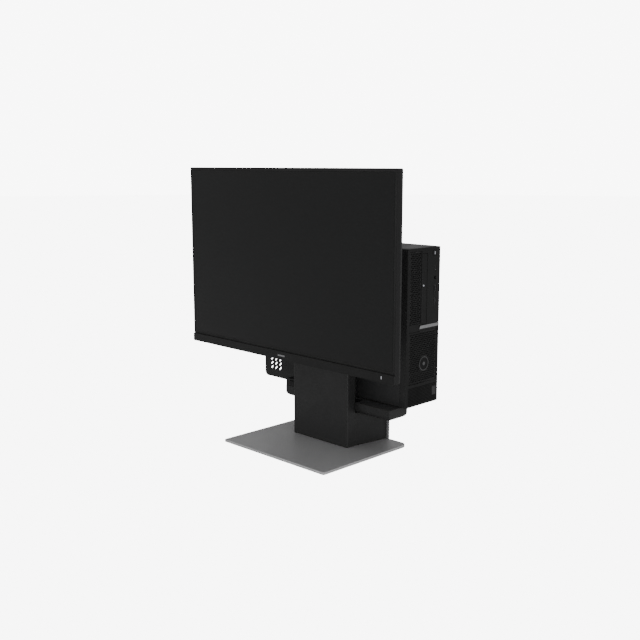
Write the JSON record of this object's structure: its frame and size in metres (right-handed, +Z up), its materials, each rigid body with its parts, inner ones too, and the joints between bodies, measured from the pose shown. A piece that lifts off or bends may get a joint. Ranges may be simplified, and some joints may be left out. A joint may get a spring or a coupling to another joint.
{
  "type": "all-in-one desktop computer",
  "caption": "Upright small desktop PC in a cradle behind a wide flat monitor, on one column stand with a flat base plate, lift, swivel, tilt and portrait joints.",
  "frame": {"origin": "on the table, under the middle of the whole object's bounding box", "axes": "+X is the screen's width, towards the user's right as they face the screen; -Y is the side the screen faces; +Z is up"},
  "size_m": [0.5324, 0.269, 0.5265],
  "materials": {
    "silver_paint": "satin silver-grey paint",
    "black_plastic": "fine-textured black",
    "bezel_plastic": "fine-textured black",
    "black_steel": "black powder coat",
    "steel": "zinc-plated",
    "spring_steel": "bright spring steel",
    "screen": "anti-glare film, switched off",
    "rubber": "matte",
    "board_green": "solder mask",
    "aluminium": "mill finish",
    "light": "clear light guide",
    "accent": "satin silver",
    "connector": "moulded black"
  },
  "bodies": {
    "stand": {"base_plate": "silver_paint", "base_foot_1": "rubber", "base_foot_2": "rubber", "base_foot_3": "rubber", "base_foot_4": "rubber", "riser_frame": "steel", "column_cover": "black_plastic", "spine_cover": "black_plastic", "lower_housing": "black_plastic", "rear_panel": "silver_paint", "cradle_tray": "black_plastic", "cradle_back": "black_steel", "latch_housing": "black_plastic", "spring_axle": "steel", "lift_spring": "spring_steel"},
    "pc_release": {"pc_release_button": "bezel_plastic"},
    "lift": {"carriage": "aluminium", "swivel_pin": "steel"},
    "yoke": {"swivel_yoke": "black_steel", "tilt_bolt": "steel"},
    "tilt_head": {"tilt_bracket": "black_steel"},
    "monitor": {"pivot_disc": "steel", "vesa_plate": "black_steel", "screen_frame": "black_plastic", "screen_led": "light", "lcd_panel": "screen", "panel_tray": "steel", "screen_rear_cover": "black_plastic", "monitor_board": "board_green"},
    "monitor_release": {"stand_release_button": "bezel_plastic"},
    "power_key": {"screen_power_key": "bezel_plastic"},
    "menu_key_a": {"menu_key_1": "bezel_plastic"},
    "menu_key_b": {"menu_key_2": "bezel_plastic"},
    "pc": {"pc_chassis": "black_steel", "pc_bezel": "bezel_plastic", "bezel_grille_upper": "bezel_plastic", "bezel_grille_lower": "bezel_plastic", "bezel_badge": "accent", "bezel_strip": "accent", "bezel_tag": "black_plastic", "front_ports": "board_green", "drive_case": "steel", "motherboard": "board_green", "rear_ports": "steel", "heatsink": "aluminium", "fan_frame": "connector", "memory_module": "board_green", "drive_cage": "steel", "hard_drive": "aluminium", "psu_case": "steel", "ac_inlet": "connector"},
    "side_cover": {"pc_cover": "black_steel"},
    "side_latch": {"cover_latch": "bezel_plastic"},
    "rear_sleeve": {"cable_cover": "black_plastic"},
    "pc_power": {"pc_power_button": "bezel_plastic", "pc_power_light": "light"},
    "optical_tray": {"drive_tray": "bezel_plastic"},
    "optical_eject": {"drive_eject_button": "light"},
    "cpu_fan": {"fan_rotor": "connector"},
    "psu_fan": {"psu_fan_rotor": "connector"}
  },
  "joints": [
    {"name": "pc_release_press", "type": "slide", "parent": "stand", "child": "pc_release", "axis": [0, 1, 0], "range_m": [0, 0.003], "stiffness_N_per_m": 400},
    {"name": "height_lift", "type": "slide", "parent": "stand", "child": "lift", "axis": [0, 0, 1], "range_m": [-0.1, 0]},
    {"name": "screen_swivel", "type": "hinge", "parent": "lift", "child": "yoke", "pos_m": [0, -0.0195, 0.353], "axis": [0, 0, 1], "range_deg": [-20, 20]},
    {"name": "screen_tilt", "type": "hinge", "parent": "yoke", "child": "tilt_head", "pos_m": [0, -0.0355, 0.353], "axis": [-1, 0, 0], "range_deg": [-5, 20]},
    {"name": "portrait_pivot", "type": "hinge", "parent": "tilt_head", "child": "monitor", "pos_m": [0, -0.048, 0.353], "axis": [0, 1, 0], "range_deg": [0, 90]},
    {"name": "monitor_release_press", "type": "slide", "parent": "monitor", "child": "monitor_release", "axis": [0, 0, 1], "range_m": [0, 0.0025], "stiffness_N_per_m": 400},
    {"name": "screen_power_press", "type": "slide", "parent": "monitor", "child": "power_key", "axis": [0, 0, 1], "range_m": [0, 0.0006], "stiffness_N_per_m": 1500},
    {"name": "menu_key_1_press", "type": "slide", "parent": "monitor", "child": "menu_key_a", "axis": [0, 0, 1], "range_m": [0, 0.0006], "stiffness_N_per_m": 1500},
    {"name": "menu_key_2_press", "type": "slide", "parent": "monitor", "child": "menu_key_b", "axis": [0, 0, 1], "range_m": [0, 0.0006], "stiffness_N_per_m": 1500},
    {"name": "pc_slide_out", "type": "slide", "parent": "stand", "child": "pc", "axis": [1, 0, 0], "range_m": [0, 0.12]},
    {"name": "side_cover_off", "type": "slide", "parent": "pc", "child": "side_cover", "axis": [0, 1, 0], "range_m": [0, 0.06]},
    {"name": "side_latch_slide", "type": "slide", "parent": "side_cover", "child": "side_latch", "axis": [1, 0, 0], "range_m": [0, 0.007], "stiffness_N_per_m": 150},
    {"name": "cable_cover_off", "type": "slide", "parent": "pc", "child": "rear_sleeve", "axis": [-1, 0, 0], "range_m": [0, 0.08]},
    {"name": "pc_power_press", "type": "slide", "parent": "pc", "child": "pc_power", "axis": [-1, 0, 0], "range_m": [0, 0.0015], "stiffness_N_per_m": 500},
    {"name": "optical_tray_slide", "type": "slide", "parent": "pc", "child": "optical_tray", "axis": [1, 0, 0], "range_m": [0, 0.12]},
    {"name": "optical_eject_press", "type": "slide", "parent": "optical_tray", "child": "optical_eject", "axis": [-1, 0, 0], "range_m": [0, 0.001], "stiffness_N_per_m": 500},
    {"name": "cpu_fan_spin", "type": "hinge", "parent": "pc", "child": "cpu_fan", "pos_m": [-0.052, 0.0995, 0.29], "axis": [0, 1, 0], "continuous": true},
    {"name": "psu_fan_spin", "type": "hinge", "parent": "pc", "child": "psu_fan", "pos_m": [-0.1118, 0.0735, 0.131], "axis": [1, 0, 0], "continuous": true}
  ]
}
